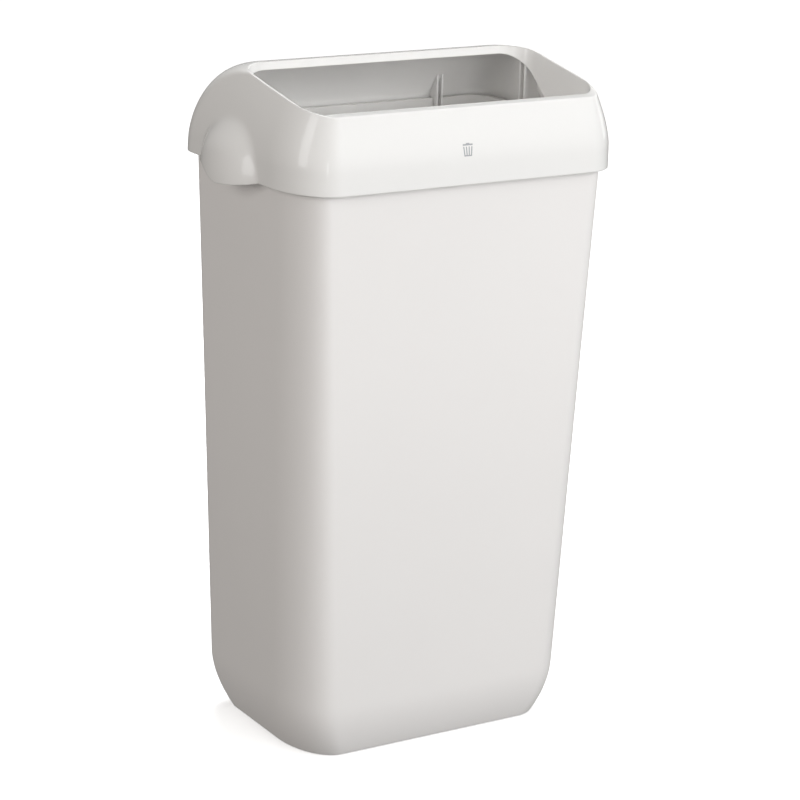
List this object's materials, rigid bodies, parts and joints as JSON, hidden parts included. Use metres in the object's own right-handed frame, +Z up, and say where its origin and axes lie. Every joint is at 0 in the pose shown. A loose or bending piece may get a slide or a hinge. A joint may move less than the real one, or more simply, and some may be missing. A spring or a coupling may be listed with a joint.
{
  "type": "waste bin",
  "caption": "Tall open-top waste bin: tapered plastic tub, lift-off hood with a sloping mouth and side finger grips, and a liner ring under the hood.",
  "frame": {"origin": "on the floor, under the centre of the bin's bounding box", "axes": "+Z up, the front faces -Y, +X to the right seen from the front"},
  "size_m": [0.41, 0.2727, 0.696],
  "materials": {
    "tub_plastic": "satin white polypropylene",
    "hood_plastic": "glossy white",
    "ring_plastic": "satin light grey",
    "pad_rubber": "matte dark grey"
  },
  "bodies": {
    "tub": {"bin_body": "tub_plastic", "foot_pad_front_left": "pad_rubber", "foot_pad_front_right": "pad_rubber", "foot_pad_rear_left": "pad_rubber", "foot_pad_rear_right": "pad_rubber"},
    "hood": {"lid_hood": "hood_plastic"},
    "liner_ring": {"bag_ring": "ring_plastic"}
  },
  "joints": [
    {"name": "hood_lift", "type": "slide", "parent": "tub", "child": "hood", "axis": [0, 0, 1], "range_m": [0, 0.2]},
    {"name": "ring_lift", "type": "slide", "parent": "tub", "child": "liner_ring", "axis": [0, 0, 1], "range_m": [0, 0.08]}
  ],
  "couplings": [
    {"joint": "ring_lift", "follows": "hood_lift", "ratio": 0.4}
  ]
}
